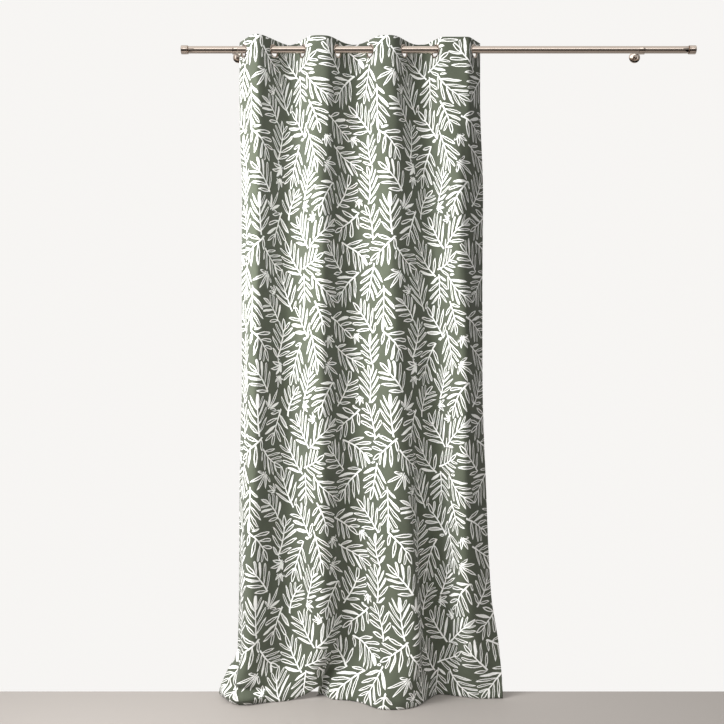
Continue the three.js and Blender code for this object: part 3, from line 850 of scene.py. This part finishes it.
def leaf_mask(finish, place):
    """1 on the printed leaves, 0 on the ground, and between where a leaflet is brushed in thinly"""
    shake_scale, shake_size, stem_bend, bend_middle, crowded = 45.0, 0.005, 0.6, 0.35, 0.14
    shake = finish.noise(place, shake_scale, output=1).vector("SUBTRACT", (0.5, 0.5, 0.5))
    shake = shake.vector("MULTIPLY", (shake_size, shake_size, 0.0))
    along, cross, number, apart = nearest_sprig(finish, place.vector("ADD", shake))
    # The stem bends a little, each sprig its own way, and leaflets are thinner where sprigs crowd
    bend = stem_bend * (luck(finish, 1.0, 2.0, number) - 0.5)
    cross = cross + bend * (along * along - bend_middle)
    crowding = (apart / crowded).held() ** 0.5
    stem = leafy_stem(finish, along, cross, number, crowding)
    tuft = leafy_tuft(finish, along, cross, number, crowding)
    return stem + (number > first_tuft - 0.5) * (tuft - stem)


def weave_height(finish, place):
    """The height of a plain weave, 0 to 1: threads 0.9 mm apart that pass over and under by turns"""
    pitch = 0.0009
    wave_across = (place.part("X") * (pi / pitch)).math("SINE")
    wave_down = (place.part("Y") * (pi / pitch)).math("SINE")
    slub_closeness, thread_relief, slub_relief = (420.0, 60.0, 1.0), 0.4, 0.35
    slubs = finish.noise(place.vector("MULTIPLY", slub_closeness), 1.0)
    return 0.5 + thread_relief * wave_across * wave_down + slub_relief * (slubs - 0.5)


def cloth_finish_of(name, ground, deep, white, shows):
    """Cotton with the print on it: shows is how much of the print is seen on this side"""
    finish = Finish(name, sheen_weight=0.15, sheen_roughness=0.5, specular_ior_level=0.2)
    place = finish.add("ShaderNodeUVMap", {"uv_map": "flat_cloth"}, [])
    mask = leaf_mask(finish, place)
    weave = weave_height(finish, place)
    # The dye is a little uneven, and painted shade makes the cloth and its print darker low between its
    # threads
    mottle = finish.noise(place, 26.0, 4.0)
    dye = finish.colours((mottle - 0.3).held() * 1.6, ground, deep)
    # Painted shade: the ground colour, then the print, darkened where the weave is low
    threads = finish.colours((0.75 - weave).held() * 0.45, dye, [0.6 * c for c in deep])
    print_weave_shaded = finish.colours((0.62 - weave).held() * 0.5, white, [0.80 * c for c in white])
    finish.drive("Base Color", finish.colours(mask * shows, threads, print_weave_shaded))
    finish.drive("Roughness", 0.92 - 0.10 * mask)
    finish.bump(weave, 0.25, 0.0004)
    return finish.material


printed_face = cloth_finish_of("printed_cotton_face", ground_lit, ground_deep, print_white, 1.0)
reverse_deep = [0.9 * c for c in reverse_ground]
printed_reverse = cloth_finish_of(
    "printed_cotton_reverse", reverse_ground, reverse_deep, reverse_print, 0.35
)
sides = [printed_face, printed_reverse]
curtain = make_piece("curtain_cloth", cloth_points, cloth_faces.tolist(), sides)
curtain.data.polygons.foreach_set("material_index", cloth_finish.astype(np.int32))
corner_place = cloth_place[cloth_faces.ravel() % cloth_half]
upright = np.stack([corner_place[:, 0], cloth_height - corner_place[:, 1]], 1)
# A second map for the closing bake: the face on the left and the reverse, narrower, beside it
on_reverse = np.repeat(cloth_finish, 4)
width_share, height_share = (upright / (cloth_width, cloth_height)).T
face_to, reverse_from = 0.62, 0.63
start, narrowed = np.where(on_reverse, [[reverse_from], [1 - reverse_from]], [[0], [face_to]])
baked = np.stack([start + narrowed * width_share, height_share], 1)
for name, places in (("flat_cloth", upright), ("OFBake", baked)):
    curtain.data.uv_layers.new(name=name).uv.foreach_set("vector", places.astype(np.float32).ravel())
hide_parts("curtain_panel")


# Hem stitching
# Rows of straight lockstitch in sage thread hold the turned side hems, the heading and the bottom
# hem. A row runs 3 mm inside each turned edge, and each stitch shows on the face and the reverse.
stitch_pitch, stitch_length, thread_half = 0.0042, 0.0032, 0.00032
seam_inset, seam_ends = 0.003, 0.004
thread_sides = 5
# Along one stitch: its place, thickness and height, as shares of the full measure
stitch_rings = np.array(
    [(-0.5, 0, -0.6), (-0.3, 0.85, 0.2), (0, 1, 0.4), (0.3, 0.85, 0.2), (0.5, 0, -0.6)]
)


def seam_places(start, end):
    """Places of the stitches' rings along a seam"""
    count = round((end - start) / stitch_pitch)
    middles = start + (end - start) * (np.arange(count) + 0.5) / count
    return (middles[:, None] + stitch_rings[:, 0] * stitch_length).ravel()


def beside(place):
    """A seam's place between two that show how the cloth slopes there"""
    return np.array([place - seam_inset, place, place + seam_inset])


def stitch_points(line, out, face_depth):
    """Points of the stitches that follow a line of rings on one side of the cloth"""
    along = np.gradient(line, axis=0)
    along /= np.linalg.norm(along, axis=1, keepdims=True)
    side = np.cross(out, along)
    count = len(line) // len(stitch_rings)
    thick, high = (np.tile(column, count)[:, None] for column in stitch_rings[:, 1:].T)
    middle = line + out * (face_depth + high * thread_half)
    corners = []
    for corner in range(thread_sides):
        angle = 2 * pi * corner / thread_sides
        corners.append(middle + thick * thread_half * (cos(angle) * out + sin(angle) * side))
    return np.stack(corners, 1).reshape(count, len(stitch_rings), thread_sides, 3)


def stitch_faces(first):
    """The faces of the stitch whose points start at this number: its two ends, then its rings"""
    last = len(stitch_rings) - 3
    at = lambda ring, corner: first + 2 + ring * thread_sides + corner % thread_sides
    faces = []
    for k in range(thread_sides):
        faces.append((first, at(0, k), at(0, k + 1)))
        faces.append((first + 1, at(last, k + 1), at(last, k)))
        for ring in range(last):
            here, beyond = at(ring, k), at(ring, k + 1)
            faces.append((here, at(ring + 1, k), at(ring + 1, k + 1), beyond))
    return faces


def stitch_mesh():
    """Points and faces of every stitch, on both sides of each seam"""
    width_way = seam_places(seam_ends, cloth_width - seam_ends)
    height_way = seam_places(heading_depth, cloth_height - bottom_hem)
    across_seams = (heading_depth - seam_inset, cloth_height - bottom_hem + seam_inset)
    down_seams = (side_hem - seam_inset, cloth_width - (side_hem - seam_inset))
    seams = [(width_way, beside(depth)) for depth in across_seams]
    seams += [(beside(place), height_way) for place in down_seams]
    points, faces = [], []
    for places_across, places_down in seams:
        middle, facing = draped(np.stack(np.meshgrid(places_across, places_down), -1))
        level = len(places_down) == 3
        line, out = (middle[1], facing[1]) if level else (middle[:, 1], facing[:, 1])
        for way, face_depth in ((1, face_half), (-1, face_half + hem_layer)):
            for stitch in stitch_points(line, way * out, face_depth):
                faces += stitch_faces(len(points))
                points += [stitch[0, 0], stitch[-1, 0], *stitch[1:-1].reshape(-1, 3)]
    return points, faces


thread_finish = Finish("sage_thread", roughness=0.75, specular_ior_level=0.25)
twist = thread_finish.noise(thread_finish.place(), 2600.0)
thread_lit = [1.35 * c for c in ground_lit]
thread_finish.drive("Base Color", thread_finish.colours(twist, ground_deep, thread_lit))
thread_finish.bump(twist, 0.3, 0.0001)
stitches = make_piece("hem_stitches", *stitch_mesh(), [thread_finish.material])


# Eyelets
# Eight two-part brass rings, nickel plated, pressed together through a punched hole in the heading.
# Each is 54 mm across outside and 40 mm inside, with a rounded face and a groove that grips the cloth.
eyelet_bore, eyelet_outside, eyelet_deep = 0.040, 0.054, 0.0065
eyelet_barrel = 0.022
eyelet_grip = 0.0010 + clearance
ring_steps = 28
ring_middle = (eyelet_bore + eyelet_outside) / 4
ring_half_width, ring_half_depth = (eyelet_outside - eyelet_bore) / 4, eyelet_deep / 2
groove_angle = atan2(eyelet_grip, (ring_half_depth**2 - eyelet_grip**2) ** 0.5)
eyelet_metal = satin_metal("eyelet_nickel", nickel_colour, (120.0, 120.0, 120.0), 0.14)
ring_section = []
for step in range(ring_steps + 1):
    angle = groove_angle + (2 * pi - 2 * groove_angle) * step / ring_steps
    off_middle = ring_half_width * cos(angle)
    ring_section.append((ring_middle + off_middle, ring_half_depth * sin(angle)))
ring_section += [(eyelet_barrel, -eyelet_grip), (eyelet_barrel, eyelet_grip)]
ring_points, ring_faces = turned(ring_section, round_corners)
lay_flat = Matrix.Rotation(pi / 2, 4, "X")
for number, along in enumerate(eyelets_along_rod):
    turn = crossing_angle if number % 2 else -crossing_angle
    at = Matrix.Translation((along, -rod_from_back, -eyelet_drop)) @ Matrix.Rotation(turn, 4, "Z")
    here = moved(ring_points, at @ lay_flat)
    ring = make_piece(f"eyelet_{number + 1}_shown", here, ring_faces, [eyelet_metal])
    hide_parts(f"eyelet_{number + 1}")


# Studio
# A plain pale floor, two soft lights from the left that light the cloth but aren't mirrored in the
# metal, a wide one in front, and the camera level with the middle of the curtain.
floor_mesh = bpy.data.meshes.new("floor")
floor_corners = [(-3.0, -3.2), (4.0, -3.2), (4.0, 0.0), (-3.0, 0.0)]
floor_mesh.from_pydata([(x, y, floor_level) for x, y in floor_corners], [], [(0, 1, 2, 3)])
floor_finish = Finish("floor_pale", base_color=(0.33, 0.305, 0.285, 1.0), roughness=0.7)
floor_mesh.materials.append(floor_finish.material)
in_scene("floor", floor_mesh)

# The rest of the light comes from all round: most from the upper left in front, some from overhead
# and behind, and none from below the horizon, which draws the dark line along the rod. The camera
# sees an even pale tone behind the object.
even_light, brightest_light, overhead_light, back_light, backdrop = 0.24, 0.50, 0.55, 0.55, 0.93
brightest_way = Vector((-0.60, -0.65, 0.50)).normalized()
dark_below, horizon_fade, overhead_from, overhead_fade, back_fade = 0.09, 0.08, 0.45, 0.3, 0.4
world = bpy.data.worlds.new("studio")
bpy.context.scene.world = world
room = Finish("studio", world, color=(1.0, 0.985, 0.965, 1.0))
looking = room.add("ShaderNodeTexCoord", {}, [])
above_floor = ((looking.part("Z") + dark_below) / horizon_fade).held()
lighting = above_floor * (even_light + brightest_light * looking.along(tuple(brightest_way)).held())
lighting = lighting + overhead_light * ((looking.part("Z") - overhead_from) / overhead_fade).held()
lighting = lighting.most(back_light * (looking.part("Y") / back_fade).held())
seen = room.add("ShaderNodeLightPath", {}, [])
room.drive("Strength", lighting + seen * (backdrop - lighting))


def soft_light(name, at, towards, size, power, on_metal):
    """A soft panel of light. One that isn't on the metal lights the cloth but isn't mirrored."""
    light = bpy.data.lights.new(name, "AREA")
    light.shape = "RECTANGLE"
    light.size, light.size_y = size
    light.energy = power
    holder = in_scene(name, light)
    holder.visible_glossy = on_metal
    holder.location = at
    holder.rotation_euler = (Vector(towards) - Vector(at)).to_track_quat("-Z", "Y").to_euler()


soft_light("window_left", (-1.45, -1.45, -0.82), (0.5, -0.1, -0.88), (1.0, 0.8), 80, False)
soft_light("window_middle", (-0.60, -1.55, -0.52), (0.5, -0.1, -0.72), (1.2, 0.7), 43, False)
soft_light("window_front", (1.1, -4.6, 1.7), (1.1, -0.1, -0.6), (4.6, 1.0), 34, True)

focal_pixels, frame_pixels, horizon_pixels_up = 977, 724, 8
camera = bpy.data.cameras.new("camera")
camera.sensor_width = 36
camera.lens = focal_pixels / frame_pixels * camera.sensor_width
camera.shift_y = -horizon_pixels_up / frame_pixels
holder = in_scene("camera", camera)
holder.location = (0.4928, -3.900, -1.183)
holder.rotation_euler = (pi / 2, 0, 0)
bpy.context.scene.camera = holder
bpy.context.scene.view_settings.view_transform = "Standard"
